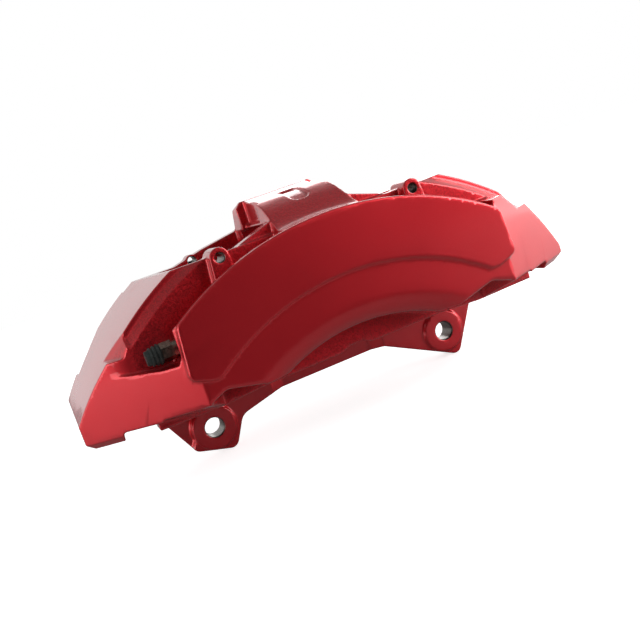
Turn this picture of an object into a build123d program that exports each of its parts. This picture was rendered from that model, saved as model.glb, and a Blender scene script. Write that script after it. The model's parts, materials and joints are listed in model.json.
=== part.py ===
from build123d import *
import math
import os

# Six-piston fixed brake caliper, cast in one piece round a ventilated disc.
# Millimetres. X runs along the caliper, +Y runs inboard along the wheel axle, +Z runs outward
# from the axle. The origin lies midway between the two mounting bolts, on the lugs' knuckle face.

# ---- disc and pads the caliper is made for ----
disc_radius = 190.0
disc_thickness = 36.0
disc_middle_y = -41.0
pad_thickness = 16.0
pad_half_length = 92.0
disc_side_gap = 4.0
disc_rim_gap = 6.0
crown_inner_gap = 9.0

# ---- mounting lugs ----
bolt_spacing = 186.7
bolt_bore = 13.5
bolt_bore_chamfer = 0.5
bolts_above_axle = 76.0
lug_thickness = 17.0
lug_boss_radius = 15.7
lug_boss_height = 2.0
lug_foot_depth = 18.0
lug_corner_radius = 6.0
lug_hollow_radius = 10.0
lug_web_inner_x = 45.0
lug_recess_depth = 7.0
lug_recess_slope = 9.0
lug_flange_edge_z = 6.0
trailing_ear_reach = 35.0
trailing_ear_top_z = 14.5
trailing_ear_side = 29.0
trailing_ear_side_z = 10.5
trailing_toe_outer = 17.0
trailing_toe_rise = 6.0
trailing_toe_inner = 10.7
trailing_toe_drop = 2.2
trailing_hollow = 22.0
leading_ear_reach = 28.5
leading_ear_top_z = 12.5
leading_toe = 7.6
leading_toe_drop = 4.0
inboard_bottom_z = 7.0
inboard_shoulder_z = 16.0
inboard_shoulder_reach = 36.0
inboard_shoulder_run = 16.0
inboard_step = 14.0

# ---- casting, overall ----
trailing_length = 177.0
leading_length = 181.5
outboard_face_y = -117.0
inboard_face_y = 38.0
rim_radius_outboard = 213.0
rim_radius_inboard = 215.8
shoulder_x = 133.0
shoulder_z = 90.3
inboard_panel_x = 114.0

# ---- outboard half ----
face_plate_height = 2.0
face_plate_rim = 1.3
face_plate_top_radius = 194.0
face_plate_low_radius = 155.5
face_plate_half_top = 109.4
face_plate_half_width = 112.4
face_shift = 1.4
face_plate_corner = 5.0
face_plate_top_z = 84.5
face_plate_low_z = 53.0
face_plate_toe = 14.0
front_slab_margin = 2.0
front_lip_thickness = 5.0
arch_radius = 122.0
arch_lip_radius = 16.0
arch_lip_turn = 60.0
trough_floor_radius = 180.0
rear_wall_thickness = 14.0
rail_setback = 7.0
rail_rim_width = 3.5
rail_bevel_width = 4.5
deck_z = 114.8
deck_fall = 3.3
beam_bottom_z = 28.8
beam_straight_x = 62.0
wall_low_x = 92.0
wall_low_z = 26.9
wall_lip_z = 29.0
beam_notch_half = 11.0
beam_notch_height = 3.0
front_bottom_z = 34.3
front_step_x = 67.0
front_peak_x = 92.5
front_peak_z = 40.6
front_heel_x = 106.1
front_heel_z = 35.5
heel_shift = 1.7
front_bend_radius = 10.0
front_edge_fillet = 2.5
recess_slant = 12.0

# ---- wings ----
wing_slope = 0.73
wing_lip = 4.0
wing_floor_z = 89.5
wing_bottom_z = 26.8
wing_bottom_x = 172.0
wing_straight_x = 134.0
wing_root_z = 27.4
wing_end_low_z = 31.0
wing_under_x = 144.0
wing_under_z = 34.0
notch_inner_x = 134.6
notch_inner_z = 77.7
notch_outer_x = 151.0
notch_outer_z = 76.0
notch_depth = 17.0
inboard_notch_x = 148.0
inboard_notch_z = 79.0
inboard_notch_low_x = 162.6
inboard_notch_low_z = 62.5
inboard_notch_width = 16.0
relief_inner_x = 130.0
relief_outer_x = 154.0
relief_depth = 4.0

# ---- pad pin bosses ----
pin_boss_x = 66.5
pin_boss_z = 112.8
pin_boss_radius = 6.3
pin_boss_reach = 8.0
pin_boss_flare = 3.0
inboard_pin_boss_radius = 4.4
pin_bore = 6.0

# ---- middle bridge ----
bridge_half_foot = 28.0
bridge_half_top = 24.5
bridge_half_block = 30.0
bridge_block_height = 2.5
bridge_block_chamfer = 4.0
bridge_rise_length = 12.0
bridge_length = 122.0
bridge_foot_z = 115.0
bridge_inboard_foot_z = 114.0
bridge_pocket_length = 37.0
bridge_pocket_width = 13.3
bridge_pocket_depth = 1.6
bridge_pocket_x = 1.5
bridge_recess_low_z = 123.5
bridge_recess_depth = 4.5
bridge_recess_near_y = -62.0
bridge_foot_fillet = 12.0
web_low_x = 57.0
web_low_z = 113.4
web_high_z = 122.6
inboard_web_low_z = 118.0
inboard_web_end_z = 111.9
web_end_x = 83.0

# ---- pistons ----
piston_circle_radius = 155.0
piston_pitch_angle = 24.0
leading_piston_radius = 16.0
middle_piston_radius = 18.0
trailing_piston_radius = 20.0
piston_length = 28.0
piston_wall = 3.5
piston_floor = 6.0
piston_proud = 2.0
piston_fit = 0.05
bore_depth = 31.0
seal_width = 3.0
seal_depth = 2.5
seal_setback = 11.0
wiper_width = 3.5
wiper_depth = 3.0
wiper_lip = 0.8
ring_gap = 0.05
dome_margin = 6.0
dome_chamfer = 3.0
inboard_wall_relief = 7.0

# ---- bleeders ----
bleeder_z = 72.0
bleeder_bore_gap = 27.5
bleeder_wall_gap = 8.0
bleeder_spot_radius = 8.0
bleeder_thread_radius = 5.0
bleeder_thread_length = 14.0
bleeder_hex_flats = 10.5
bleeder_hex_length = 7.0
bleeder_hex_gap = 1.0
bleeder_nipple_radius = 3.5
bleeder_nipple_length = 7.0
bleeder_drill_radius = 1.0
thread_fit = 0.05
inboard_bleeder_bore_gap = 14.0
inboard_bleeder_z = 88.0
cap_radius = 6.0
cap_tip_radius = 4.4
cap_length = 9.5
cap_fit = 0.1
cap_rib_height = 0.7
cap_rib_width = 1.1
cap_rib_count = 3
pocket_bottom_z = 63.0
pocket_length = 43.0
pocket_rise = 4.5
pocket_rise_length = 32.5
pocket_blend_radius = 45.0
pocket_blend_overlap = 0.15

# ---- pad abutments ----
abutment_thickness = 1.2
abutment_low_z = 44.0
abutment_high_z = 86.0
abutment_edge_gap = 0.8
screw_radius = 2.0
screw_head_radius = 3.6
screw_head_height = 1.6
screw_length = 9.0
screw_socket = 2.5
screw_fit = 0.05

# ---- hose port and passage plug ----
port_bore = 9.0
port_depth = 15.0
port_boss_radius = 10.0
port_boss_height = 5.0
port_x = -31.5
passage_bore = 4.0
passage_z = 72.0
inboard_passage_y = 13.0
plug_from_end = 35.5
plug_radius = 6.0
plug_length = 8.0
plug_socket = 5.0
plug_socket_depth = 4.0
plug_spot_radius = 9.0

# ---- places that follow from the sizes above ----
axle_z = -bolts_above_axle
bolt_x = bolt_spacing / 2
disc_outboard_y = disc_middle_y - disc_thickness / 2
disc_inboard_y = disc_middle_y + disc_thickness / 2
pad_wall_outboard_y = disc_outboard_y - pad_thickness
pad_wall_inboard_y = disc_inboard_y + pad_thickness
slot_half = disc_thickness / 2 + disc_side_gap
slot_radius = disc_radius + disc_rim_gap
crown_inner_radius = disc_radius + crown_inner_gap
front_y = outboard_face_y + face_plate_height
lip_back_y = front_y + front_lip_thickness
wall_front_y = pad_wall_outboard_y - rear_wall_thickness
inboard_wall_y = inboard_face_y - inboard_wall_relief
outboard_bleeder_y = wall_front_y - bleeder_wall_gap
rail_y = wall_front_y + rail_setback
trailing_bore_x = -piston_circle_radius * math.sin(math.radians(piston_pitch_angle))
trailing_bore_end_x = trailing_bore_x - trailing_piston_radius
bleeder_seat_x = trailing_bore_end_x - bleeder_bore_gap
inboard_bleeder_x = trailing_bore_end_x - inboard_bleeder_bore_gap
pocket_end_x = bleeder_seat_x - pocket_length
plug_x = leading_length - plug_from_end
trough_bottom_z = front_peak_z + 1.5
bridge_block_y = disc_middle_y + slot_half - 8
far = 400.0


# ---------------------------------------------------------------- drawing helpers
def on_face(y):
    """Drawing plane at depth y: its first axis is +X and its second is +Z."""
    return Plane(origin=(0, y, 0), x_dir=(1, 0, 0), z_dir=(0, -1, 0))


def prism(shape, y_low, y_high):
    """Solid with the XZ outline `shape` between two depths."""
    return extrude(on_face(y_high) * shape, amount=y_high - y_low)


def column(points, z_low, z_high):
    """Solid with an XY outline between two heights."""
    return extrude(Plane.XY.offset(z_low) * outline(points), amount=z_high - z_low)


def outline(points):
    return make_face(Polyline(*points, close=True))


def both_sides(points):
    """Closed outline from the points of its +X half, listed top to bottom."""
    mirrored = [(-x, z) for x, z in reversed(points) if x > 0]
    return outline(points + mirrored)


def round_corners(shape, places, radius):
    """The outline with an arc at each of the given corners."""
    corners = [
        v for v in shape.vertices()
        if any(abs(v.X - x) < 0.01 and abs(v.Y - z) < 0.01 for x, z in places)
    ]
    return fillet(corners, radius)


def disc_of(radius):
    """Circle about the axle, in an XZ outline."""
    return Pos(0, axle_z) * Circle(radius)


def about_axle(radius, y_low, y_high, end_radius=None):
    """Cylinder or cone about the axle."""
    here = Location((0, y_low, axle_z), (-90, 0, 0))
    base = (Align.CENTER, Align.CENTER, Align.MIN)
    if end_radius is None or end_radius == radius:
        return here * Cylinder(radius, y_high - y_low, align=base)
    return here * Cone(radius, end_radius, y_high - y_low, align=base)


def rod(radius, start, end, end_radius=None):
    """Round bar from one point to another, tapered when it has an end radius."""
    direction = Vector(*end) - Vector(*start)
    plane = Plane(origin=start, z_dir=direction)
    base = (Align.CENTER, Align.CENTER, Align.MIN)
    if end_radius is None:
        return plane.location * Cylinder(radius, direction.length, align=base)
    return plane.location * Cone(radius, end_radius, direction.length, align=base)


def hex_bar(flats, start, end):
    """Hexagonal bar from one point to another."""
    direction = Vector(*end) - Vector(*start)
    plane = Plane(origin=start, z_dir=direction)
    hexagon = RegularPolygon(flats / math.sqrt(3), 6)
    return extrude(plane * hexagon, amount=direction.length)


def block(low, high):
    size = [b - a for a, b in zip(low, high)]
    return Pos(*low) * Box(*size, align=(Align.MIN, Align.MIN, Align.MIN))


def along(point, direction, distance):
    return tuple(p + d * distance for p, d in zip(point, direction))


def heel_x(sign):
    """Where the flat front meets a wing's slanted face; the leading one lies further out."""
    return sign * front_heel_x + heel_shift


def wing_face_y(x):
    """Depth of the wings' slanted front faces at x."""
    return front_y + wing_slope * (abs(x - heel_shift) - front_heel_x)


# ---------------------------------------------------------------- casting: outer forms
def drum():
    """Outer drum of the casting, drafted outward towards the inboard side."""
    slope = (rim_radius_inboard - rim_radius_outboard) / (inboard_face_y - rail_y)
    start_radius = rim_radius_outboard - slope * (rail_y - outboard_face_y)
    return about_axle(start_radius, outboard_face_y, inboard_face_y, rim_radius_inboard)


def lower_edge():
    """Lower edge of the rear wall from wing to wing, a little deeper where the wings begin."""
    half = [
        (wing_straight_x, wing_root_z), (wall_low_x, wall_low_z), (beam_straight_x, beam_bottom_z),
    ]
    return half + [(-x, z) for x, z in reversed(half)]


def wing_core():
    """Everything from wing to wing behind the slanted faces, before the disc is cut out."""
    side = outline([
        (-trailing_length, far),
        (leading_length, far),
        (leading_length, wing_end_low_z),
        (wing_bottom_x, wing_bottom_z),
        *lower_edge(),
        (-wing_bottom_x, wing_bottom_z),
        (-trailing_length, wing_end_low_z),
    ])
    core = prism(side, outboard_face_y, inboard_face_y) & drum()
    core -= deck_cut()
    core -= front_cut()
    core -= block((-inboard_panel_x, inboard_wall_y, -far), (inboard_panel_x, inboard_face_y + 1, far))
    for sign in (1, -1):
        core -= wing_front_cut(sign)
        core -= wing_lip_cut(sign)
        core -= wing_notch(sign)
        core -= inboard_notch(sign)
        core -= slot_relief(sign)
    return core - rail_bevel_cut()


def deck_cut():
    """Space above the flat deck, which falls a little towards the inboard side."""
    fall = deck_fall / (inboard_face_y - rail_y)
    side = outline([
        (outboard_face_y - 1, deck_z + fall * (rail_y - outboard_face_y)),
        (inboard_face_y + 1, deck_z - deck_fall),
        (inboard_face_y + 1, far),
        (outboard_face_y - 1, far),
    ])
    plane = Plane(origin=(-far, 0, 0), x_dir=(0, 1, 0), z_dir=(1, 0, 0))
    return extrude(plane * side, amount=2 * far)


def front_cut():
    """Space in front of the rear wall: the trough above the slab and the recess under the arch."""
    trough_end = front_heel_x + heel_shift + 1
    trough = both_sides([
        (0, far), (leading_length, far), (leading_length, wing_floor_z),
        (trough_end, wing_floor_z), (trough_end, trough_bottom_z), (0, trough_bottom_z),
    ])
    cut = prism(trough, outboard_face_y - 1, wall_front_y)
    left, right = heel_x(-1), heel_x(1)
    recess = [
        (right, outboard_face_y - 1), (right, front_y), (right - recess_slant, wall_front_y),
        (left + recess_slant, wall_front_y), (left, front_y), (left, outboard_face_y - 1),
    ]
    return cut + column(recess, -far, trough_bottom_z)


def wing_front_cut(sign):
    """Space in front of a wing's slanted face."""
    start = heel_x(sign)
    return column([
        (start, wing_face_y(start)),
        (sign * far, wing_face_y(sign * far)),
        (sign * far, outboard_face_y - 20),
        (start, outboard_face_y - 20),
    ], -far, far)


def wing_lip_cut(sign):
    """Chamfer under a wing's slanted face."""
    start_x = sign * wing_straight_x
    end_x = sign * wing_bottom_x
    start = Vector(start_x, wing_face_y(start_x), wing_root_z)
    end = Vector(end_x, wing_face_y(end_x), wing_bottom_z)
    outward = Vector(sign * wing_slope, -1, 0).normalized()
    plane = Plane(origin=start, x_dir=outward, z_dir=end - start)
    up = 1 if plane.y_dir.Z > 0 else -1
    reach = 40
    wedge = outline([(2, up * (wing_lip + 2)), (2, -up * reach), (-wing_lip - reach, -up * reach)])
    return extrude(plane * wedge, amount=reach * 3, both=True)


def half_space(corner, second, third, toward):
    """Large block beyond the plane through three points, on the side of `toward`."""
    plane = Plane(Face(Wire.make_polygon([corner, second, third])))
    if (Vector(*toward) - plane.origin).dot(plane.z_dir) < 0:
        plane = Plane(origin=plane.origin, x_dir=plane.x_dir, z_dir=-plane.z_dir)
    return extrude(plane * Rectangle(far, far), amount=far)


def wing_underside(sign):
    """Space under a wing's root, from its front lip down to the rear wall."""
    root = heel_x(sign)
    end_x = sign * wing_under_x
    heel = (root, front_y, front_heel_z)
    along_lip = (end_x, wing_face_y(end_x), wing_under_z)
    along_wall = (root, wall_front_y, wall_lip_z)
    below = half_space(heel, along_lip, along_wall, (root, 0, -far))
    room = block(
        (front_peak_x - front_bend_radius, outboard_face_y - 1, -far),
        (relief_inner_x + 1, wall_front_y, far),
    )
    return below & (room if sign > 0 else mirror(room, Plane.YZ))


def beam_notch():
    """Shallow arc in the lower edge of the rear wall."""
    radius = (beam_notch_half**2 + beam_notch_height**2) / (2 * beam_notch_height)
    circle = Pos(0, beam_bottom_z + beam_notch_height - radius) * Circle(radius)
    return prism(circle & Rectangle(3 * beam_notch_half, far), wall_front_y - 1, pad_wall_outboard_y + 1)


def wing_notch(sign):
    """Facet between the rail's end and the lower part of a wing."""
    inner_x = sign * notch_inner_x
    outer_x = sign * notch_outer_x
    inner = (inner_x, wing_face_y(inner_x), notch_inner_z)
    outer = (outer_x, wing_face_y(outer_x) + notch_depth, notch_outer_z)
    top = (sign * shoulder_x, rail_y, shoulder_z)
    beyond = half_space(inner, outer, top, (sign * far, -far, far))
    near_x = notch_inner_x - 1
    room = block((near_x, outboard_face_y - 1, notch_outer_z), (far, inboard_face_y, far))
    return beyond & (room if sign > 0 else mirror(room, Plane.YZ))


def inboard_notch(sign):
    """Facet on the inboard rim of a wing, above the tip."""
    near = (sign * inboard_notch_x, inboard_face_y, inboard_notch_z)
    low = (sign * inboard_notch_low_x, inboard_face_y, inboard_notch_low_z)
    drop = axle_z - inboard_notch_low_z
    rim_x = math.sqrt(rim_radius_inboard**2 - drop**2)
    deep = (sign * rim_x, inboard_face_y - inboard_notch_width, inboard_notch_low_z)
    beyond = half_space(near, low, deep, (sign * far, inboard_face_y, far))
    room = block((0, disc_inboard_y, inboard_notch_low_z), (far, inboard_face_y + 1, far))
    return beyond & (room if sign > 0 else mirror(room, Plane.YZ))


def slot_relief(sign):
    """Relief under a wing where the disc slot opens through the lip."""
    mid_y = disc_middle_y - slot_half
    points = [
        (sign * relief_inner_x, outboard_face_y),
        (sign * relief_outer_x, outboard_face_y),
        (sign * relief_outer_x, mid_y + 1),
        (sign * relief_inner_x, mid_y + 1),
    ]
    return column(points, 0, beam_bottom_z + relief_depth)


def rail_bevel_cut():
    """Stepped edge along the outboard rim of the drum, down to the notches."""
    step = rim_radius_outboard - rail_rim_width
    inner = step - rail_bevel_width
    ring = about_axle(far, outboard_face_y - 1, rail_y)
    ring -= about_axle(inner, outboard_face_y - 2, wall_front_y)
    ring -= about_axle(inner, wall_front_y, rail_y, step)
    side = both_sides([
        (0, far), (notch_inner_x, far), (notch_inner_x, notch_outer_z), (0, notch_outer_z),
    ])
    return ring & prism(side, outboard_face_y - 1, rail_y)


# ---------------------------------------------------------------- casting: outboard half
def face_side(sign):
    """One side of the front slab's outline, listed top to bottom, without its end on the middle."""
    margin = front_slab_margin
    heel = heel_x(sign)
    return [
        (sign * (face_plate_half_top + margin) + face_shift, far),
        (sign * (face_plate_half_top + margin) + face_shift, face_plate_top_z),
        (sign * (face_plate_half_width + margin) + face_shift, face_plate_low_z),
        (heel + sign * (margin + 2), front_heel_z),
        (heel, front_heel_z),
        (sign * front_peak_x, front_peak_z),
        (sign * front_step_x, front_bottom_z),
    ]


def front_profile():
    """Outline of the front slab, with a margin round the face plate."""
    right = face_side(1)
    left = face_side(-1)
    side = round_corners(outline(right + left[::-1]), right[-3:] + left[-3:], front_bend_radius)
    return side & disc_of(face_plate_top_radius) - disc_of(arch_radius)


def arch_lip():
    """Ring that rounds the front face over into the arch."""
    turn = math.radians(arch_lip_turn)
    rise = arch_lip_radius * math.sin(turn)
    depth = arch_lip_radius * (1 - math.cos(turn))
    centre_y = front_y + arch_lip_radius
    half = turn / 2
    top = (front_y, arch_radius + rise)
    middle = (
        centre_y - arch_lip_radius * math.cos(half),
        arch_radius + rise - arch_lip_radius * math.sin(half),
    )
    low = (front_y + depth, arch_radius)
    inner = arch_radius - 1
    rest = Polyline(low, (low[0], inner), (front_y - 1, inner), (front_y - 1, top[1]), top)
    plane = Plane(origin=(0, 0, axle_z), x_dir=(0, 1, 0), z_dir=(1, 0, 0))
    section = plane * make_face([ThreePointArc(top, middle, low), rest])
    return revolve(section, axis=Axis((0, 0, axle_z), (0, 1, 0)), revolution_arc=360)


def front_slab():
    """Front wall of the outboard half, with the trough behind its upper lip."""
    back_y = wall_front_y + 1
    slab = prism(front_profile(), front_y, back_y)
    low_edges = [
        e for e in slab.edges()
        if abs(e.center().Y - front_y) < 0.01
        and e.center().Z < (front_peak_z + face_plate_low_z) / 2
        and (e.geom_type == GeomType.LINE or e.radius < arch_radius / 2)
        and abs(e.center().X - heel_shift) < front_heel_x + front_slab_margin + 1
    ]
    slab = fillet(low_edges, front_edge_fillet)
    slab -= arch_lip()
    trough = about_axle(far, lip_back_y, back_y + 1)
    trough -= about_axle(trough_floor_radius, lip_back_y - 1, back_y + 2)
    slab -= trough
    for sign in (1, -1):
        slab -= wing_front_cut(sign)
    return slab


def rear_wall():
    """Outboard wall behind the trough, down to the straight beam under the arch."""
    side = outline([(-notch_inner_x, far), (notch_inner_x, far), *lower_edge()])
    wall = prism(side, wall_front_y, pad_wall_outboard_y) & drum()
    return wall - deck_cut() - rail_bevel_cut()


def face_plate():
    """Raised plate on the front, with a bevelled rim."""
    ring = disc_of(face_plate_top_radius) - disc_of(face_plate_low_radius)
    toe_z = face_plate_low_z - 4.5
    side = both_sides([
        (0, far),
        (face_plate_half_top - 8, far),
        (face_plate_half_top, face_plate_top_z),
        (face_plate_half_width, face_plate_low_z),
        (face_plate_half_width - face_plate_toe, toe_z),
        (0, toe_z),
    ])
    side = Pos(face_shift, 0) * side
    plate = prism(ring & side, outboard_face_y, wing_face_y(face_plate_half_width) + 2)
    plate = fillet(plate.edges().filter_by(Axis.Y), face_plate_corner)
    return fillet(plate.faces().sort_by(Axis.Y)[0].edges(), face_plate_rim)


def pin_tab(sign, radius):
    """Outline of a tab with a round top and flared sides."""
    foot = outline([
        (sign * (pin_boss_x - radius), pin_boss_z),
        (sign * (pin_boss_x + radius), pin_boss_z),
        (sign * (pin_boss_x + radius + pin_boss_flare), pin_boss_z - 30),
        (sign * (pin_boss_x - radius - pin_boss_flare), pin_boss_z - 30),
    ])
    return foot + Pos(sign * pin_boss_x, pin_boss_z) * Circle(radius)


def pin_bosses():
    """Tabs on both halves that hold the ends of the pad pins."""
    bosses = []
    for sign in (1, -1):
        tab = pin_tab(sign, pin_boss_radius)
        bosses.append(prism(tab, wall_front_y - pin_boss_reach, pad_wall_outboard_y))
        low_tab = pin_tab(sign, inboard_pin_boss_radius)
        bosses.append(prism(low_tab, pad_wall_inboard_y, pad_wall_inboard_y + rear_wall_thickness))
    return bosses


# ---------------------------------------------------------------- casting: bridge
def web(low_z, end_z):
    """Outline of the sloping web from the middle bridge down to the deck."""
    foot_z = end_z - 17
    return both_sides([
        (0, web_high_z), (bridge_half_foot, web_high_z), (web_low_x, low_z),
        (web_end_x, end_z), (web_end_x, foot_z), (0, foot_z),
    ])


def webs():
    """Sloping webs between the deck and the middle bridge, on both halves."""
    outboard = prism(web(web_low_z, web_low_z - 3), wall_front_y + 2, pad_wall_outboard_y)
    back_y = pad_wall_inboard_y + rear_wall_thickness
    inboard = prism(web(inboard_web_low_z, inboard_web_end_z), pad_wall_inboard_y, back_y)
    return [outboard, inboard]


def side_view(points, half_width):
    """Solid of the given half width whose YZ outline has the points."""
    plane = Plane(origin=(-half_width, 0, 0), x_dir=(0, 1, 0), z_dir=(1, 0, 0))
    return extrude(plane * outline(points), amount=2 * half_width)


def bridge_arch(crown_z, low_z):
    """The arch itself; its outboard end runs out level behind the front lip."""
    reach = bridge_length / 2
    front = (lip_back_y - 1, bridge_foot_z)
    back = (disc_middle_y + reach, bridge_inboard_foot_z)
    curve = Spline(
        front,
        (disc_middle_y - reach, bridge_foot_z + 0.9),
        (disc_middle_y - reach * 0.89, bridge_foot_z + 3.4),
        (disc_middle_y - reach * 0.67, crown_z - 11),
        (disc_middle_y - reach * 0.41, crown_z - 3.5),
        (disc_middle_y, crown_z),
        (disc_middle_y + reach * 0.41, crown_z - 3),
        (disc_middle_y + reach * 0.73, crown_z - 12),
        back,
    )
    rest = Polyline(back, (back[0], low_z), (front[0], low_z), front)
    plane = Plane(origin=(-bridge_half_foot, 0, 0), x_dir=(0, 1, 0), z_dir=(1, 0, 0))
    arch = extrude(plane * make_face([curve, rest]), amount=2 * bridge_half_foot)
    taper = both_sides([
        (0, crown_z + 5), (bridge_half_top, crown_z + 5), (bridge_half_foot, web_low_z),
        (bridge_half_foot, low_z - 5), (0, low_z - 5),
    ])
    arch &= prism(taper, outboard_face_y, inboard_face_y)
    arch -= bridge_pocket() - Pos(0, 0, -bridge_pocket_depth) * arch
    inner_x = bridge_half_foot - bridge_recess_depth
    for sign in (1, -1):
        ends = sorted((sign * inner_x, sign * far))
        arch -= block(
            (ends[0], bridge_recess_near_y, bridge_recess_low_z),
            (ends[1], bridge_block_y, far),
        )
    return arch


def bridge_block(crown_z, low_z):
    """Thicker block over the inboard part of the disc slot."""
    lump = side_view([
        (bridge_block_y, crown_z + bridge_block_height),
        (bridge_block_y + 3, crown_z + bridge_block_height),
        (bridge_block_y + 13, crown_z - 2),
        (pad_wall_inboard_y + 2, crown_z - 14),
        (pad_wall_inboard_y + 8, web_low_z),
        (pad_wall_inboard_y + 8, low_z),
        (bridge_block_y, low_z),
    ], bridge_half_block)
    top = [e for e in lump.edges() if abs(e.center().Z - crown_z - bridge_block_height) < 0.1]
    top_sides = [e for e in top if abs(e.center().X) > bridge_half_block - 0.1]
    lump = chamfer(top_sides, bridge_block_chamfer)
    return lump & about_axle(rim_radius_inboard + bridge_block_height, outboard_face_y, inboard_face_y)


def bridge_rise(crown_z):
    """Slope from the arch's crown up to the top of the block."""
    return side_view([
        (bridge_block_y - bridge_rise_length, crown_z - 0.3),
        (bridge_block_y + 1, crown_z + bridge_block_height),
        (bridge_block_y + 1, crown_z - bridge_recess_depth),
        (bridge_block_y - bridge_rise_length, crown_z - bridge_recess_depth),
    ], bridge_half_foot - bridge_recess_depth)


def bridge():
    """Middle bridge over the disc."""
    crown_z = axle_z + rim_radius_outboard + 0.5
    low_z = deck_z - 30
    shelf = about_axle(face_plate_top_radius, lip_back_y - 1, wall_front_y)
    shelf &= block((-bridge_half_foot, outboard_face_y, low_z), (bridge_half_foot, 0, far))
    arch = bridge_arch(crown_z, low_z) + shelf
    foot_z = axle_z + face_plate_top_radius
    meeting = [
        e for e in arch.edges()
        if abs(e.center().X) < 1
        and abs(e.center().Z - foot_z) < 2
        and lip_back_y < e.center().Y < wall_front_y
    ]
    arch = fillet(meeting, bridge_foot_fillet)
    slot_end_y = disc_middle_y + slot_half
    under = about_axle(crown_inner_radius, pad_wall_outboard_y, slot_end_y)
    under += about_axle(disc_radius + disc_rim_gap / 3, pad_wall_outboard_y, pad_wall_inboard_y)
    return [arch - under, bridge_block(crown_z, low_z) - under, bridge_rise(crown_z)]


def bridge_pocket():
    """Upright column with the outline of the pocket, whose length runs across the disc."""
    slot = SlotOverall(bridge_pocket_length, bridge_pocket_width, rotation=90)
    place = Pos(bridge_pocket_x, disc_middle_y - bridge_length * 0.14, bridge_foot_z)
    return extrude(place * slot, amount=far)


# ---------------------------------------------------------------- casting: inboard half
def inboard_half():
    """Inboard wall that carries three bores, the hose port and the lugs."""
    side = both_sides([
        (0, far),
        (notch_inner_x, far),
        (wing_straight_x + inboard_step, beam_bottom_z),
        (bolt_x + inboard_shoulder_reach, inboard_shoulder_z),
        (lug_web_inner_x + inboard_step + inboard_shoulder_run, inboard_shoulder_z),
        (lug_web_inner_x + inboard_step, inboard_bottom_z),
        (0, inboard_bottom_z),
    ])
    half = prism(side, pad_wall_inboard_y, inboard_wall_y) & drum()
    return half - deck_cut()


def housings():
    """Round housings over the inboard bores."""
    domes = []
    for radius, angle in piston_set():
        x, z = piston_place(angle)
        dome = prism(Pos(x, z) * Circle(radius + dome_margin), inboard_wall_y - 2, inboard_face_y)
        domes.append(chamfer(dome.faces().sort_by(Axis.Y)[-1].edges(), dome_chamfer))
    return domes


def lug_outline():
    """Outline of the flange with its two ears; the trailing ear is the fuller one."""
    foot = -lug_foot_depth
    toes = [
        (-bolt_x - trailing_toe_outer, foot + trailing_toe_rise),
        (trailing_toe_inner - bolt_x, foot - trailing_toe_drop),
        (bolt_x + leading_toe, foot - leading_toe_drop),
    ]
    hollows = [(trailing_hollow - bolt_x, 0), (bolt_x + leading_ear_reach, leading_ear_top_z)]
    side = outline([
        (-wing_straight_x, beam_bottom_z),
        (-bolt_x - trailing_ear_reach, trailing_ear_top_z),
        (-bolt_x - trailing_ear_side, trailing_ear_side_z),
        toes[0],
        toes[1],
        hollows[0],
        (-lug_web_inner_x, lug_flange_edge_z),
        (lug_web_inner_x, lug_flange_edge_z),
        toes[2],
        hollows[1],
        (wing_straight_x, beam_bottom_z),
    ])
    side = round_corners(side, toes, lug_corner_radius)
    return round_corners(side, hollows, lug_hollow_radius)


def lugs():
    """Flange with the two bolt ears, behind the disc and below the inboard pad."""
    flange = prism(lug_outline(), lug_boss_height - lug_thickness, 0)
    pad_room = about_axle(arch_radius + 8, -lug_thickness - 1, pad_wall_inboard_y)
    beside_pads = block((pad_half_length + 1, -lug_thickness - 1, -far), (far, 1, far))
    flange &= pad_room + beside_pads + block((-far, pad_wall_inboard_y - 1, -far), (far, 1, far))
    front = lug_boss_height - lug_thickness
    wide = lug_web_inner_x
    narrow = lug_web_inner_x - lug_recess_slope
    recess = [
        (wide, front - 1), (wide, front), (narrow, front + lug_recess_depth),
        (-narrow, front + lug_recess_depth), (-wide, front), (-wide, front - 1),
    ]
    flange -= column(recess, -far, far)
    pieces = [flange]
    for sign in (1, -1):
        ring = Pos(sign * bolt_x, 0) * Circle(lug_boss_radius)
        boss = prism(ring, -lug_thickness, -lug_thickness / 2)
        pieces.append(chamfer(boss.faces().sort_by(Axis.Y)[0].edges(), bolt_bore_chamfer))
    return pieces


# ---------------------------------------------------------------- machining
def piston_set():
    """Radius and angle from the middle of the three pistons on each side."""
    return [
        (leading_piston_radius, piston_pitch_angle),
        (middle_piston_radius, 0.0),
        (trailing_piston_radius, -piston_pitch_angle),
    ]


def piston_place(angle):
    x = piston_circle_radius * math.sin(math.radians(angle))
    z = axle_z + piston_circle_radius * math.cos(math.radians(angle))
    return x, z


def sides():
    """Pad wall depth and the direction into the metal, for each half."""
    return {"outboard": (pad_wall_outboard_y, -1), "inboard": (pad_wall_inboard_y, 1)}


def bores():
    """Piston bores with their seal and wiper grooves."""
    cuts = []
    for wall_y, into in sides().values():
        for radius, angle in piston_set():
            x, z = piston_place(angle)
            bore = radius + piston_fit
            mouth = (x, wall_y, z)
            cuts.append(rod(bore, (x, wall_y - into, z), (x, wall_y + into * bore_depth, z)))
            groove_start = (x, wall_y + into * seal_setback, z)
            groove_end = (x, wall_y + into * (seal_setback + seal_width), z)
            cuts.append(rod(bore + seal_depth, groove_start, groove_end))
            cuts.append(rod(bore + wiper_depth, mouth, (x, wall_y + into * wiper_width, z)))
    return cuts


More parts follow.
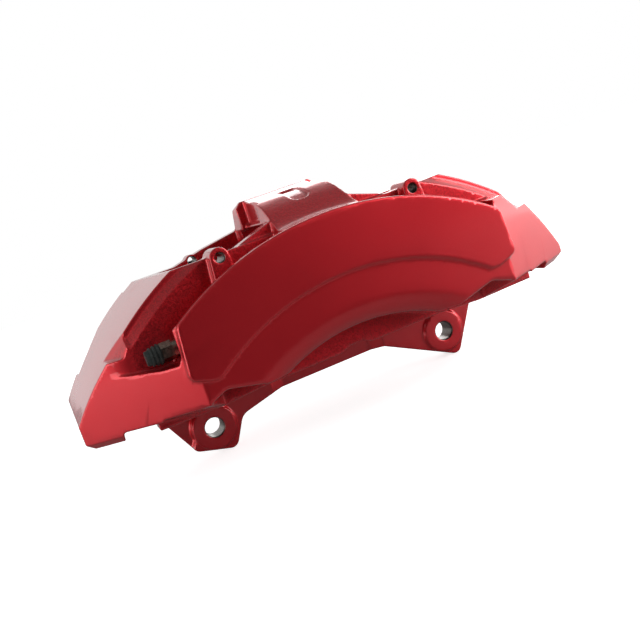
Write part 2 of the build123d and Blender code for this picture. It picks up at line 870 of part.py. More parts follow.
def pocket_floor():
    """Space in front of the pocket's floor, which curves away until it meets the wing's face."""
    run_out_x = heel_shift - front_heel_x - (wall_front_y - front_y) / wing_slope
    turn = math.atan(wing_slope)
    reach = pocket_blend_radius * math.tan(turn / 2) - pocket_blend_overlap / math.sin(turn)
    axis = (run_out_x + reach, wall_front_y + pocket_blend_radius)
    side_x = axis[0] - pocket_blend_radius * math.sin(turn)
    front = column([
        (side_x, outboard_face_y - 5), (far, outboard_face_y - 5), (far, wall_front_y),
        (axis[0], wall_front_y), axis, (side_x, axis[1]),
    ], -far, far)
    return front - rod(pocket_blend_radius, (*axis, -far), (*axis, far))


def bleeder_pocket():
    """Pocket in the -X wing face that makes room for the bleeder and a spanner."""
    shape = outline([
        (pocket_end_x, pocket_bottom_z + pocket_rise),
        (pocket_end_x + pocket_rise_length, pocket_bottom_z),
        (bleeder_seat_x + 6, pocket_bottom_z),
        (bleeder_seat_x + 6, wing_floor_z + 3),
        (pocket_end_x, wing_floor_z + 3),
    ])
    return prism(shape, outboard_face_y - 5, wall_front_y + pocket_blend_radius) & pocket_floor()


def bleeder_seats():
    """Seat point and outward direction of each bleeder."""
    return {
        "outboard": ((bleeder_seat_x, outboard_bleeder_y, bleeder_z), (-1, 0, 0)),
        "inboard": ((inboard_bleeder_x, inboard_wall_y, inboard_bleeder_z), (0, 1, 0)),
    }


def passages():
    """Threaded seats and drilled passages that join the bores."""
    cuts = []
    for seat, out in bleeder_seats().values():
        thread_end = along(seat, out, -bleeder_thread_length - 1)
        cuts.append(rod(bleeder_spot_radius, seat, along(seat, out, 30)))
        cuts.append(rod(bleeder_thread_radius + thread_fit, along(seat, out, 1), thread_end))
    far_bore_x, _ = piston_place(piston_pitch_angle)
    start = (bleeder_seat_x + bleeder_thread_length, outboard_bleeder_y, passage_z)
    cuts.append(rod(passage_bore / 2, start, (far_bore_x, outboard_bleeder_y, passage_z)))
    plug_end = plug_x - plug_length
    def inboard_point(x):
        return (x, inboard_passage_y, passage_z)

    cuts.append(rod(plug_spot_radius, inboard_point(plug_x), inboard_point(far)))
    cuts.append(rod(plug_radius + thread_fit, inboard_point(plug_x + 1), inboard_point(plug_end)))
    cuts.append(rod(passage_bore / 2, inboard_point(plug_end + 1), inboard_point(-far_bore_x)))
    bleeder_end = (inboard_bleeder_x, inboard_wall_y - bleeder_thread_length, inboard_bleeder_z)
    cuts.append(rod(passage_bore / 2, bleeder_end, inboard_point(-far_bore_x - 8)))
    mouth_y = inboard_wall_y + port_boss_height
    port_end_y = mouth_y - port_depth
    cuts.append(rod(port_bore / 2, (port_x, mouth_y + 1, passage_z), (port_x, port_end_y, passage_z)))
    cuts.append(rod(passage_bore / 2, (port_x, port_end_y + 1, passage_z), inboard_point(port_x)))
    return cuts


def bolt_and_pin_holes():
    cuts = []
    for sign in (1, -1):
        bolt = Pos(sign * bolt_x, 0) * Circle(bolt_bore / 2)
        cuts.append(prism(bolt, -lug_thickness - 1, 1))
        seat = (sign * bolt_x, -lug_thickness, 0)
        mouth = bolt_bore / 2 + bolt_bore_chamfer
        cuts.append(rod(mouth, seat, (sign * bolt_x, -lug_thickness + bolt_bore_chamfer, 0), bolt_bore / 2))
        pin = Pos(sign * pin_boss_x, pin_boss_z) * Circle(pin_bore / 2)
        cuts.append(prism(pin, wall_front_y - pin_boss_reach - 1, pad_wall_outboard_y + 1))
        cuts.append(prism(pin, pad_wall_inboard_y - 1, pad_wall_inboard_y + rear_wall_thickness))
    return cuts


def abutment_screw_places():
    """Screw point and outward direction on each pad end wall."""
    middle_z = (abutment_low_z + abutment_high_z) / 2
    places = {}
    for side, wall_y in (("outboard", pad_wall_outboard_y), ("inboard", disc_inboard_y)):
        for end, sign in (("trailing", -1), ("leading", 1)):
            point = (sign * pad_half_length, wall_y + pad_thickness / 2, middle_z)
            places[side + "_" + end] = (point, (-sign, 0, 0))
    return places


def build_body():
    body = wing_core() + rear_wall()
    for sign in (1, -1):
        body -= wing_underside(sign)
    body -= beam_notch()
    body -= bleeder_pocket()
    body += front_slab()
    body -= block((-pad_half_length, pad_wall_outboard_y, -far), (pad_half_length, pad_wall_inboard_y, far))
    body += inboard_half()
    port_wall = rod(
        port_boss_radius, (port_x, inboard_wall_y - 1, passage_z),
        (port_x, inboard_wall_y + port_boss_height, passage_z),
    )
    for piece in bridge() + webs() + pin_bosses() + housings() + [face_plate(), port_wall]:
        body += piece
    body -= about_axle(slot_radius, disc_middle_y - slot_half, disc_middle_y + slot_half)
    for piece in lugs():
        body += piece
    for cut in bores() + passages() + bolt_and_pin_holes():
        body -= cut
    for point, out in abutment_screw_places().values():
        body -= rod(screw_radius + screw_fit, along(point, out, 1), along(point, out, -screw_length))
    return body


# ---------------------------------------------------------------- loose pieces
def build_piston(radius, angle, wall_y, into):
    """Piston cup: closed end to the fluid, open end to the pad."""
    x, z = piston_place(angle)
    mouth = (x, wall_y - into * piston_proud, z)
    out = (0, into, 0)
    cup = rod(radius, mouth, along(mouth, out, piston_length))
    cup = chamfer(cup.edges(), 0.8)
    floor = along(mouth, out, piston_length - piston_floor)
    return cup - rod(radius - piston_wall, along(mouth, out, -1), floor)


def ring(inner, outer, start, end):
    return rod(outer, start, end) - rod(inner, start, end)


def build_seal(radius, angle, wall_y, into):
    """Square-cut pressure seal in its groove."""
    x, z = piston_place(angle)
    start = (x, wall_y + into * (seal_setback + ring_gap), z)
    end = (x, wall_y + into * (seal_setback + seal_width - ring_gap), z)
    return ring(radius + ring_gap, radius + piston_fit + seal_depth - ring_gap, start, end)


def build_wiper(radius, angle, wall_y, into):
    """Dust wiper in the mouth of the bore, with a narrow lip that stands out of the wall."""
    x, z = piston_place(angle)
    start = (x, wall_y + into * (wiper_width - ring_gap), z)
    end = (x, wall_y, z)
    outer = radius + piston_fit + wiper_depth - ring_gap
    body = ring(radius + ring_gap, outer, start, end)
    lip = ring(radius + ring_gap, radius + wiper_depth / 2, end, (x, wall_y - into * wiper_lip, z))
    return body + lip


def build_bleeder(seat, out):
    """Bleed screw: threaded shank, hexagon and hose nipple, drilled through."""
    base = along(seat, out, bleeder_hex_gap)
    tip = along(seat, out, -bleeder_thread_length)
    hex_end = along(base, out, bleeder_hex_length)
    nipple_end = along(hex_end, out, bleeder_nipple_length)
    screw = rod(bleeder_thread_radius, along(tip, out, 3), base)
    screw += rod(passage_bore / 2, tip, along(tip, out, 3), bleeder_thread_radius)
    screw += hex_bar(bleeder_hex_flats, base, hex_end)
    screw += rod(bleeder_nipple_radius - 0.8, hex_end, nipple_end)
    barb_start = along(nipple_end, out, -bleeder_nipple_length / 2)
    screw += rod(bleeder_nipple_radius, barb_start, nipple_end, bleeder_nipple_radius - 0.9)
    return screw - rod(bleeder_drill_radius, along(tip, out, 4), along(nipple_end, out, 1))


def build_cap(seat, out):
    """Ribbed rubber cap pushed over a bleeder's nipple."""
    start = along(seat, out, bleeder_hex_gap + bleeder_hex_length + cap_fit)
    end = along(start, out, cap_length)
    cap = rod(cap_radius, start, end, cap_tip_radius)
    pitch = cap_length / (cap_rib_count + 1)
    for i in range(cap_rib_count):
        middle = pitch * (i + 0.6)
        rib_radius = cap_radius + cap_rib_height - (cap_radius - cap_tip_radius) * middle / cap_length
        low = along(start, out, middle - cap_rib_width / 2)
        cap += rod(rib_radius, low, along(low, out, cap_rib_width))
    hollow = along(start, out, bleeder_nipple_length + cap_fit)
    return cap - rod(bleeder_nipple_radius + cap_fit, along(start, out, -1), hollow)


def build_abutment(name):
    """Thin plate that the end of a pad slides on."""
    point, out = abutment_screw_places()[name]
    half = pad_thickness / 2 - abutment_edge_gap
    x_near = point[0]
    x_far = point[0] + out[0] * abutment_thickness
    plate = block(
        (min(x_near, x_far), point[1] - half, abutment_low_z),
        (max(x_near, x_far), point[1] + half, abutment_high_z),
    )
    return plate - rod(screw_radius + screw_fit, along(point, out, -1), along(point, out, 5))


def build_abutment_screws():
    """The four screws of the abutment plates."""
    screws = []
    for point, out in abutment_screw_places().values():
        under_head = along(point, out, abutment_thickness)
        top = along(under_head, out, screw_head_height)
        screw = rod(screw_radius, along(point, out, 0.5 - screw_length), under_head)
        screw += rod(screw_head_radius, under_head, top)
        screw -= hex_bar(screw_socket, along(top, out, -1), along(top, out, 1))
        screws.append(screw)
    return Compound(children=screws)


def build_plug():
    """Plug that closes the inboard passage."""
    out = (1, 0, 0)
    face = (plug_x, inboard_passage_y, passage_z)
    plug = rod(plug_radius, along(face, out, 1 - plug_length), face)
    plug = chamfer(plug.edges().sort_by(Axis.X)[-1], 0.6)
    return plug - hex_bar(plug_socket, along(face, out, -plug_socket_depth), along(face, out, 1))


def piston_nodes():
    """Pistons, seals and wipers of both halves by node name."""
    nodes = {}
    for side, (wall_y, into) in sides().items():
        for place, (radius, angle) in zip(("leading", "middle", "trailing"), piston_set()):
            tail = side + "_" + place
            nodes["piston_" + tail] = build_piston(radius, angle, wall_y, into)
            nodes["piston_seal_" + tail] = build_seal(radius, angle, wall_y, into)
            nodes["dust_wiper_" + tail] = build_wiper(radius, angle, wall_y, into)
    return nodes


def all_nodes():
    nodes = {"caliper_body": build_body(), "abutment_screws": build_abutment_screws()}
    nodes["passage_plug"] = build_plug()
    nodes.update(piston_nodes())
    for side, (seat, out) in bleeder_seats().items():
        nodes["bleeder_screw_" + side] = build_bleeder(seat, out)
        nodes["bleeder_cap_" + side] = build_cap(seat, out)
    for name in abutment_screw_places():
        nodes["abutment_plate_" + name] = build_abutment(name)
    return nodes


os.makedirs("parts", exist_ok=True)
for name, shape in all_nodes().items():
    shape.label = name
    export_step(shape, "parts/" + name + ".step")
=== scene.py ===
import json
import math

import bpy
import numpy as np
import openvdb as vdb
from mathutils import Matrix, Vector


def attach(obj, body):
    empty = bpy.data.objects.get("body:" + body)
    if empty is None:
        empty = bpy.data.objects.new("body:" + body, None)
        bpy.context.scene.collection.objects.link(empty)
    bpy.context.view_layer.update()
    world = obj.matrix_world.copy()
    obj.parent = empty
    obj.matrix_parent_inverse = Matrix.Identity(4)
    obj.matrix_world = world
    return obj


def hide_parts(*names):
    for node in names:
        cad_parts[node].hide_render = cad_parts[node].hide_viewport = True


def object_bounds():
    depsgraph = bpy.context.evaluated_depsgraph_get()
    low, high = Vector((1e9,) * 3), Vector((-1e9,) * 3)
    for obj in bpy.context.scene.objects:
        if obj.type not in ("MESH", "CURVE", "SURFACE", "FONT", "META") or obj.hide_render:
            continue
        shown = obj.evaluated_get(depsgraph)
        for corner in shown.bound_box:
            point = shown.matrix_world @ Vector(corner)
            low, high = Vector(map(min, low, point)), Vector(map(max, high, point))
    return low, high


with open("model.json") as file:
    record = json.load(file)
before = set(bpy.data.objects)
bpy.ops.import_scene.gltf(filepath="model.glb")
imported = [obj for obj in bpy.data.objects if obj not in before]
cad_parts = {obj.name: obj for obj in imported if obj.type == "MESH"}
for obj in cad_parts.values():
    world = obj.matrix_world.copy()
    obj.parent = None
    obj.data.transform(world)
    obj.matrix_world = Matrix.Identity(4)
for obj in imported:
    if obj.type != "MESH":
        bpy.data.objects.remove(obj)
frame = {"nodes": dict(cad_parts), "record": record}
cad_low, cad_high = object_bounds()
nodes = frame["nodes"]

MM = 0.001

# ---- places read from the frame ----
mounts = {m["name"]: m for m in frame["record"]["mounts"]}
lug_dims = mounts["lug_bolts"]["dims"]
bolt_x = lug_dims["spacing_x_mm"] * MM / 2
bolt_hole = lug_dims["hole_r_mm"] * MM
pin_place = Vector(mounts["pad_pin_leading"]["pos_m"])
pin_hole = mounts["pad_pin_leading"]["dims"]["r_mm"] * MM
port_place = Vector(mounts["hose_inlet"]["pos_m"])
port_hole = mounts["hose_inlet"]["dims"]["r_mm"] * MM
axle_z = -76 * MM

# ---- the casting's front faces, as the CAD has them ----
FRONT_Y = -115 * MM
HEEL_X = 106.1 * MM
WING_SLOPE = 0.73

# ---- how the casting is softened ----
VOXEL = 0.5
CORNER_FILLET = 0.9
EDGE_ROUND = 0.4
MESH_SLACK = 0.03
MOST_TRIANGLES = 185000

# ---- camera ----
CAMERA_PLACE = (-0.17464, -0.60456, 0.13829)
CAMERA_RIGHT = (0.88961, -0.32281, -0.32308)
CAMERA_AHEAD = (0.28714, 0.94543, -0.15399)
LENS = 48.81
SENSOR_WIDTH = 36
NEAREST = 0.01
DARK_SIDE = (-0.139, -0.99, 0.0)
FLOOR_HALF = 3.0


# ---------------------------------------------------------------- node helpers
class Paint:
    """Small builder for a node material."""

    def __init__(self, name):
        self.mat = bpy.data.materials.new(name)
        self.mat.use_nodes = True
        self.tree = self.mat.node_tree
        self.tree.nodes.clear()
        self.out = self.tree.nodes.new("ShaderNodeOutputMaterial")

    def add(self, kind, **values):
        node = self.tree.nodes.new(kind)
        for key, value in values.items():
            if hasattr(node, key):
                setattr(node, key, value)
            else:
                node.inputs[key.replace("_", " ")].default_value = value
        return node

    def join(self, source, target, name):
        self.tree.links.new(source, target.inputs[name])
        return target

    def coords(self):
        return self.add("ShaderNodeTexCoord").outputs["Object"]

    def noise(self, scale, detail=2.0, rough=0.5, where=None):
        n = self.add("ShaderNodeTexNoise", Scale=scale, Detail=detail, Roughness=rough)
        self.join(where or self.coords(), n, "Vector")
        return n.outputs["Fac"]

    def math(self, kind, a, b=0.0, clamp=False):
        n = self.add("ShaderNodeMath", operation=kind, use_clamp=clamp)
        for i, v in enumerate((a, b)):
            if isinstance(v, (int, float)):
                n.inputs[i].default_value = v
            else:
                self.tree.links.new(v, n.inputs[i])
        return n.outputs[0]

    def ramp(self, value, low, high, out_low=0.0, out_high=1.0):
        n = self.add("ShaderNodeMapRange", interpolation_type="SMOOTHSTEP")
        self.join(value, n, "Value")
        for key, v in (("From Min", low), ("From Max", high), ("To Min", out_low), ("To Max", out_high)):
            n.inputs[key].default_value = v
        return n.outputs["Result"]

    def mix(self, factor, a, b):
        n = self.add("ShaderNodeMix", data_type="RGBA")
        for socket, v in ((n.inputs[0], factor), (n.inputs[6], a), (n.inputs[7], b)):
            if isinstance(v, (int, float, tuple)):
                socket.default_value = v
            else:
                self.tree.links.new(v, socket)
        return n.outputs[2]

    def mix_value(self, factor, a, b):
        n = self.add("ShaderNodeMix", data_type="FLOAT")
        for socket, v in ((n.inputs[0], factor), (n.inputs[2], a), (n.inputs[3], b)):
            if isinstance(v, (int, float)):
                socket.default_value = v
            else:
                self.tree.links.new(v, socket)
        return n.outputs[0]

    def split(self):
        n = self.add("ShaderNodeSeparateXYZ")
        self.join(self.coords(), n, "Vector")
        return n.outputs["X"], n.outputs["Y"], n.outputs["Z"]

    def distance(self, a, a0, b, b0):
        """Distance in a plane from the point (a0, b0)."""
        da = self.math("SUBTRACT", a, a0)
        db = self.math("SUBTRACT", b, b0)
        squares = self.math("ADD", self.math("MULTIPLY", da, da), self.math("MULTIPLY", db, db))
        return self.math("SQRT", squares)

    def bump(self, height, strength, distance):
        n = self.add("ShaderNodeBump", Strength=strength, Distance=distance)
        self.join(height, n, "Height")
        return n

    def shader(self, **values):
        n = self.add("ShaderNodeBsdfPrincipled", **values)
        self.join(n.outputs[0], self.out, "Surface")
        return n


def rgb(r, g, b):
    """Linear colour from the 0-255 values seen on a screen."""
    def linear(v):
        v /= 255
        return v / 12.92 if v <= 0.04045 else ((v + 0.055) / 1.055) ** 2.4
    return (linear(r), linear(g), linear(b), 1.0)


# ---------------------------------------------------------------- materials
def paint_material():
    """Red metallic lacquer over a sand-cast surface, bare metal in the machined holes; painted shade in the
    trough and a painted highlight along the edges.
    """
    p = Paint("caliper_paint")
    x, y, z = p.split()
    ax = p.math("ABSOLUTE", x)
    radius = p.distance(x, 0.0, z, axle_z)

    # rough casting in the trough and inside, coloured a darker red there as painted shade; smooth on the faces
    # that show
    slant = p.math("MULTIPLY", p.math("MAXIMUM", p.math("SUBTRACT", ax, HEEL_X), 0.0), WING_SLOPE)
    behind = p.ramp(p.math("SUBTRACT", y, slant), FRONT_Y + 0.005, FRONT_Y + 0.007)
    inside = p.ramp(radius, 0.2115, 0.2095)
    above_lugs = p.ramp(z, 0.022, 0.03)
    rough_cast_and_shade = p.math("MULTIPLY", p.math("MULTIPLY", behind, inside), above_lugs)
    grain = p.noise(950.0, 3.0, 0.6)
    coarse = p.noise(330.0, 2.0, 0.5)
    flake = p.noise(3800.0, 1.0, 0.4)
    tone = p.noise(14.0, 2.0, 0.5)

    # machined bare metal
    lug = p.ramp(p.distance(ax, bolt_x, z, 0.0), bolt_hole + 0.0009, bolt_hole + 0.0004)
    lug_depth = p.ramp(y, -0.0185, -0.0165)
    lug = p.math("MULTIPLY", lug, lug_depth)
    pin = p.ramp(p.distance(ax, pin_place.x, z, pin_place.z), pin_hole + 0.0006, pin_hole + 0.0002)
    face = p.ramp(y, -0.0006, -0.0002)
    face = p.math("MULTIPLY", face, p.ramp(y, 0.0012, 0.0006))
    face = p.math("MULTIPLY", face, p.ramp(z, 0.012, 0.006))
    port = p.ramp(p.distance(x, port_place.x, z, port_place.z), port_hole + 0.0035, port_hole + 0.003)
    port = p.math("MULTIPLY", port, p.ramp(y, 0.02, 0.021))
    bare = p.math("MAXIMUM", p.math("MAXIMUM", lug, pin), p.math("MAXIMUM", face, port))

    # painted highlight: the lacquer is coloured pale pink along the edges
    rounded = p.add("ShaderNodeBevel", samples=6, Radius=0.0011)
    true = p.add("ShaderNodeNewGeometry")
    bend = p.add("ShaderNodeVectorMath", operation="DOT_PRODUCT")
    p.tree.links.new(rounded.outputs[0], bend.inputs[0])
    p.tree.links.new(true.outputs["Normal"], bend.inputs[1])
    patchy = p.ramp(p.noise(240.0, 2.0, 0.5), 0.3, 0.6, 0.6, 1.0)
    painted_edge_highlight = p.math("MULTIPLY", p.ramp(bend.outputs["Value"], 0.98, 0.88), patchy)

    red = p.mix(p.ramp(tone, 0.3, 0.7), (0.66, 0.017, 0.027, 1), (0.72, 0.020, 0.031, 1))
    red = p.mix(p.ramp(flake, 0.5, 0.72, 0.0, 0.22), red, (0.78, 0.06, 0.065, 1))
    # painted highlight: pale pink mixed into the red along the edges
    red = p.mix(p.math("MULTIPLY", painted_edge_highlight, 0.7), red, (0.90, 0.34, 0.34, 1))
    # painted shade: the trough and inside are coloured a darker red, broken up by the casting grain
    red = p.mix(p.math("MULTIPLY", rough_cast_and_shade, p.ramp(grain, 0.35, 0.6, 0.35, 0.0)), red, rgb(96, 8, 14))
    turned = p.noise(2200.0, 2.0, 0.6)
    metal = p.mix(turned, rgb(84, 80, 76), rgb(136, 130, 124))
    colour = p.mix(bare, red, metal)

    smooth_rough = p.ramp(flake, 0.2, 0.8, 0.38, 0.48)
    cast_rough = p.ramp(grain, 0.2, 0.8, 0.42, 0.58)
    rough = p.mix_value(rough_cast_and_shade, smooth_rough, cast_rough)
    rough = p.mix_value(bare, rough, p.ramp(turned, 0.2, 0.8, 0.22, 0.38))
    metallic = p.mix_value(bare, 0.85, 1.0)
    height = p.math("ADD", p.math("MULTIPLY", grain, 0.5), p.math("MULTIPLY", coarse, 0.8))
    height = p.math("MULTIPLY", height, p.mix_value(rough_cast_and_shade, 0.10, 1.0))
    bump = p.bump(height, 0.55, 0.00055)
    s = p.shader(Coat_Roughness=0.09, Coat_IOR=1.5, IOR=1.5)
    p.join(p.mix_value(bare, 1.0, 0.0), s, "Coat Weight")
    p.join(colour, s, "Base Color")
    p.join(rough, s, "Roughness")
    p.join(metallic, s, "Metallic")
    p.join(bump.outputs[0], s, "Normal")
    return p.mat


def metal_material(name, dark, light, scale, low, high, bump_distance, stretch=(1, 1, 1)):
    """Plain metal with fine marks, stretched along the way it was worked."""
    p = Paint(name)
    mapping = p.add("ShaderNodeMapping")
    mapping.inputs["Scale"].default_value = stretch
    p.join(p.coords(), mapping, "Vector")
    where = mapping.outputs[0]
    fine = p.noise(scale, 3.0, 0.6, where)
    broad = p.noise(scale / 12, 2.0, 0.5, where)
    colour = p.mix(p.ramp(fine, 0.3, 0.7), dark, light)
    colour = p.mix(p.ramp(broad, 0.45, 0.8, 0.0, 0.5), colour, dark)
    s = p.shader(Metallic=1.0)
    p.join(colour, s, "Base Color")
    p.join(p.ramp(fine, 0.2, 0.8, low, high), s, "Roughness")
    p.join(p.bump(fine, 0.4, bump_distance).outputs[0], s, "Normal")
    return p.mat


def rubber_material(name, dark, light, low, high):
    p = Paint(name)
    fine = p.noise(1500.0, 3.0, 0.6)
    dust = p.noise(160.0, 3.0, 0.55)
    colour = p.mix(p.ramp(dust, 0.35, 0.7), dark, light)
    s = p.shader(IOR=1.5)
    p.join(colour, s, "Base Color")
    p.join(p.ramp(fine, 0.2, 0.8, low, high), s, "Roughness")
    p.join(p.bump(fine, 0.5, 0.0001).outputs[0], s, "Normal")
    return p.mat


def all_materials():
    return {
        "caliper_paint": paint_material(),
        "piston_alloy": metal_material(
            "piston_alloy", rgb(150, 146, 138), rgb(186, 182, 174), 900.0, 0.2, 0.36, 0.00004, (1, 14, 1)),
        "stainless_sheet": metal_material(
            "stainless_sheet", rgb(168, 166, 160), rgb(205, 203, 198), 700.0, 0.18, 0.34, 0.00003, (1, 1, 0.06)),
        "fastener_steel": metal_material(
            "fastener_steel", rgb(120, 116, 106), rgb(170, 166, 152), 800.0, 0.25, 0.45, 0.00004),
        "bleeder_steel": metal_material(
            "bleeder_steel", rgb(128, 118, 106), rgb(176, 164, 150), 700.0, 0.25, 0.42, 0.00005),
        "seal_rubber": rubber_material("seal_rubber", rgb(30, 30, 31), rgb(48, 48, 49), 0.42, 0.6),
        "cap_rubber": rubber_material("cap_rubber", rgb(44, 50, 48), rgb(66, 73, 70), 0.5, 0.68),
    }


# ---------------------------------------------------------------- the casting
def mesh_arrays(obj):
    """Vertices in millimetres and triangles of a mesh object."""
    mesh = obj.data
    mesh.calc_loop_triangles()
    points = np.empty(len(mesh.vertices) * 3, np.float32)
    mesh.vertices.foreach_get("co", points)
    triangles = np.empty(len(mesh.loop_triangles) * 3, np.int32)
    mesh.loop_triangles.foreach_get("vertices", triangles)
    return points.reshape(-1, 3) / MM, triangles.reshape(-1, 3)


def field(points, reach, voxel, **faces):
    """Distance field of a closed surface, out to a reach on both sides."""
    transform = vdb.createLinearTransform(voxelSize=voxel)
    half = reach / voxel + 2
    return vdb.FloatGrid.createLevelSetFromPolygons(points, transform=transform, halfWidth=half, **faces)


def moved(grid, distance, reach, voxel):
    """The field of the surface moved outward by a distance."""
    points, quads = grid.convertToQuads(isovalue=distance)
    return field(points, reach, voxel, quads=quads)


def mesh_of(name, points, triangles, quads):
    """Mesh object from arrays of points, triangles and quads."""
    mesh = bpy.data.meshes.new(name)
    corners = np.concatenate((triangles[:, ::-1].ravel(), quads[:, ::-1].ravel())).astype(np.int32)
    sizes = np.concatenate((np.full(len(triangles), 3), np.full(len(quads), 4)))
    mesh.vertices.add(len(points))
    mesh.vertices.foreach_set("co", (points * MM).astype(np.float32).ravel())
    mesh.loops.add(len(corners))
    mesh.loops.foreach_set("vertex_index", corners)
    mesh.polygons.add(len(sizes))
    mesh.polygons.foreach_set("loop_start", (np.cumsum(sizes) - sizes).astype(np.int32))
    mesh.polygons.foreach_set("use_smooth", np.ones(len(sizes), bool))
    mesh.update(calc_edges=True)
    mesh.validate()
    obj = bpy.data.objects.new(name, mesh)
    bpy.context.scene.collection.objects.link(obj)
    return obj


def thin_out(obj, share):
    """Merges triangles where the surface is flattest until only the given share is left."""
    if share >= 1:
        return
    modifier = obj.modifiers.new("thin_out", "DECIMATE")
    modifier.ratio = share
    depsgraph = bpy.context.evaluated_depsgraph_get()
    thin = bpy.data.meshes.new_from_object(obj.evaluated_get(depsgraph))
    obj.modifiers.clear()
    obj.data = thin


def sampled(values, places):
    """Values of a grid of numbers at places between its points."""
    low = np.floor(places).astype(int)
    part = places - low
    total = np.zeros(len(places))
    for corner in np.ndindex(2, 2, 2):
        weight = np.prod(np.where(corner, part, 1 - part), axis=1)
        i, j, k = (low + corner).T
        total += weight * values[i, j, k]
    return total


def slopes(grid, points, voxel):
    """Unit normals of a distance field at the points of its surface."""
    places = points.astype(float) / voxel
    low = np.floor(places.min(axis=0)).astype(int) - 3
    size = np.ceil(places.max(axis=0)).astype(int) + 4 - low
    values = np.empty(size, np.float32)
    grid.copyToArray(values, ijk=tuple(int(i) for i in low))
    places -= low
    steps = np.eye(3) * 0.6
    rises = [sampled(values, places + step) - sampled(values, places - step) for step in steps]
    normals = np.stack(rises, axis=1)
    return normals / np.maximum(np.linalg.norm(normals, axis=1, keepdims=True), 1e-9)


def softened_casting(source):
    """The casting with a small fillet in its corners and rounded edges, as a foundry makes it."""
    voxel = VOXEL
    points, triangles = mesh_arrays(source)
    grid = field(points, CORNER_FILLET, voxel, triangles=triangles)
    grid = moved(grid, CORNER_FILLET, CORNER_FILLET + EDGE_ROUND, voxel)
    grid = moved(grid, -CORNER_FILLET - EDGE_ROUND, EDGE_ROUND, voxel)
    points, triangles, quads = grid.convertToPolygons(isovalue=EDGE_ROUND, adaptivity=MESH_SLACK)
    obj = mesh_of("casting", points, triangles, quads)
    thin_out(obj, MOST_TRIANGLES / (len(triangles) + 2 * len(quads)))
    points, _ = mesh_arrays(obj)
    obj.data.normals_split_custom_set_from_vertices(slopes(grid, points, voxel))
    return obj


# ---------------------------------------------------------------- scene
def area_light(name, place, target, size, size_y, level):
    """Softbox of the given brightness, aimed at a point."""
    data = bpy.data.lights.new(name, "AREA")
    data.shape = "RECTANGLE"
    data.size, data.size_y = size, size_y
    data.energy = 4 * size * size_y * level
    lamp = bpy.data.objects.new(name, data)
    lamp.location = place
    lamp.rotation_mode = "QUATERNION"
    lamp.rotation_quaternion = (Vector(target) - Vector(place)).to_track_quat("-Z", "Y")
    lamp.visible_camera = False
    bpy.context.scene.collection.objects.link(lamp)


def off_axis(p, way):
    """Cosine of the angle between a direction and the dark side of the room."""
    dot = p.add("ShaderNodeVectorMath", operation="DOT_PRODUCT")
    p.tree.links.new(way, dot.inputs[0])
    dot.inputs[1].default_value = DARK_SIDE
    return dot.outputs["Value"]


def studio():
    """Softboxes to the right and left, in a pale room that is dark behind the camera."""
    area_light("right_box", (0.9, 0.25, 0.1), (0.12, 0.0, 0.06), 0.9, 0.45, 1.05)
    area_light("left_box", (-0.75, -0.3, 0.2), (-0.1, -0.06, 0.05), 0.6, 0.4, 1.35)
    area_light("front_box", (0.95, -0.6, 0.45), (0.0, -0.08, 0.05), 0.9, 0.8, 3.9)
    area_light("back_box", (0.5, 1.0, 0.42), (0.0, -0.05, 0.08), 0.6, 0.7, 1.8)
    world = bpy.data.worlds.new("room")
    bpy.context.scene.world = world
    world.use_nodes = True
    world.node_tree.nodes.clear()
    p = Paint.__new__(Paint)
    p.tree = world.node_tree
    way = p.add("ShaderNodeTexCoord").outputs["Generated"]
    height = p.add("ShaderNodeSeparateXYZ")
    p.tree.links.new(way, height.inputs[0])
    level = p.ramp(off_axis(p, way), 0.5, 0.93, 0.78, 0.03)
    level = p.math("MULTIPLY", level, p.ramp(height.outputs["Z"], 0.4, 0.85, 1.0, 0.25))
    path = p.add("ShaderNodeLightPath")
    level = p.mix_value(path.outputs["Is Camera Ray"], level, 1.0)
    background = p.add("ShaderNodeBackground", Color=(1, 1, 1, 1))
    p.tree.links.new(level, background.inputs["Strength"])
    out = p.tree.nodes.new("ShaderNodeOutputWorld")
    p.tree.links.new(background.outputs[0], out.inputs["Surface"])


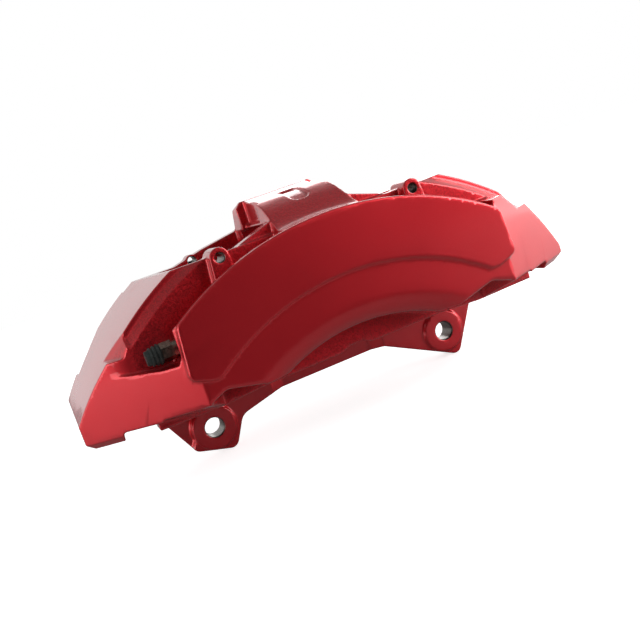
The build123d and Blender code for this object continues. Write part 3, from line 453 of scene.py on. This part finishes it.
def floor():
    """Pale floor under the lugs, white to the camera but for the shadow; to other rays it is grey near the lugs
    and painted dark far out in front, as painted shade.
    """
    lowest = cad_low.z
    corners = [(x * FLOOR_HALF, y * FLOOR_HALF, lowest) for x, y in ((-1, -1), (1, -1), (1, 1), (-1, 1))]
    mesh = bpy.data.meshes.new("floor")
    mesh.from_pydata(corners, [], [(0, 1, 2, 3)])
    ground = bpy.data.objects.new("floor", mesh)
    bpy.context.scene.collection.objects.link(ground)
    p = Paint("floor")
    flat = p.add("ShaderNodeVectorMath", operation="MULTIPLY")
    p.tree.links.new(p.coords(), flat.inputs[0])
    flat.inputs[1].default_value = (1, 1, 0)
    far_out = p.add("ShaderNodeVectorMath", operation="LENGTH")
    p.tree.links.new(flat.outputs[0], far_out.inputs[0])
    way = p.add("ShaderNodeVectorMath", operation="NORMALIZE")
    p.tree.links.new(flat.outputs[0], way.inputs[0])
    # painted shade: to reflected and bounced light the floor is darkened far out towards the dark side of the
    # room
    pale = p.ramp(off_axis(p, way.outputs[0]), 0.5, 0.93, 0.7, 0.04)
    pale = p.mix_value(p.ramp(far_out.outputs["Value"], 0.18, 0.34), 0.42, pale)
    path = p.add("ShaderNodeLightPath")
    shade = p.add("ShaderNodeBsdfDiffuse")
    p.join(p.mix_value(path.outputs["Is Camera Ray"], pale, 0.8), shade, "Color")
    glow = p.add("ShaderNodeEmission", Color=(1, 1, 1, 1))
    p.join(p.math("MULTIPLY", path.outputs["Is Camera Ray"], 0.75), glow, "Strength")
    both = p.add("ShaderNodeAddShader")
    p.join(shade.outputs[0], both, 0)
    p.join(glow.outputs[0], both, 1)
    p.join(both.outputs[0], p.out, "Surface")
    mesh.materials.append(p.mat)


def camera():
    data = bpy.data.cameras.new("camera")
    data.sensor_width = SENSOR_WIDTH
    data.lens = LENS
    data.clip_start = NEAREST
    cam = bpy.data.objects.new("camera", data)
    right, ahead = Vector(CAMERA_RIGHT), Vector(CAMERA_AHEAD)
    up = right.cross(ahead)
    turn = cam.matrix_world.to_3x3()
    for column, axis in enumerate((right, up, -ahead)):
        for row in range(3):
            turn[row][column] = axis[row]
    cam.rotation_euler = turn.to_euler()
    cam.location = CAMERA_PLACE
    bpy.context.scene.collection.objects.link(cam)
    bpy.context.scene.camera = cam


def dress(obj, material, smooth_angle=30):
    """Gives a piece its material, slot and smooth shading between its sharp edges."""
    obj.data.materials.clear()
    obj.data.materials.append(material)
    if smooth_angle:
        obj.data.set_sharp_from_angle(angle=math.radians(smooth_angle))


materials = all_materials()
slots = {s["node"]: s["material_slot"] for s in frame["record"]["subparts"]}
casting = softened_casting(nodes["caliper_body"])
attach(casting, "caliper")
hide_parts("caliper_body")
dress(casting, materials["caliper_paint"], 0)
for name, node in nodes.items():
    if name != "caliper_body":
        dress(node, materials[slots[name]])

studio()
floor()
camera()
bpy.context.scene.view_settings.view_transform = "Standard"
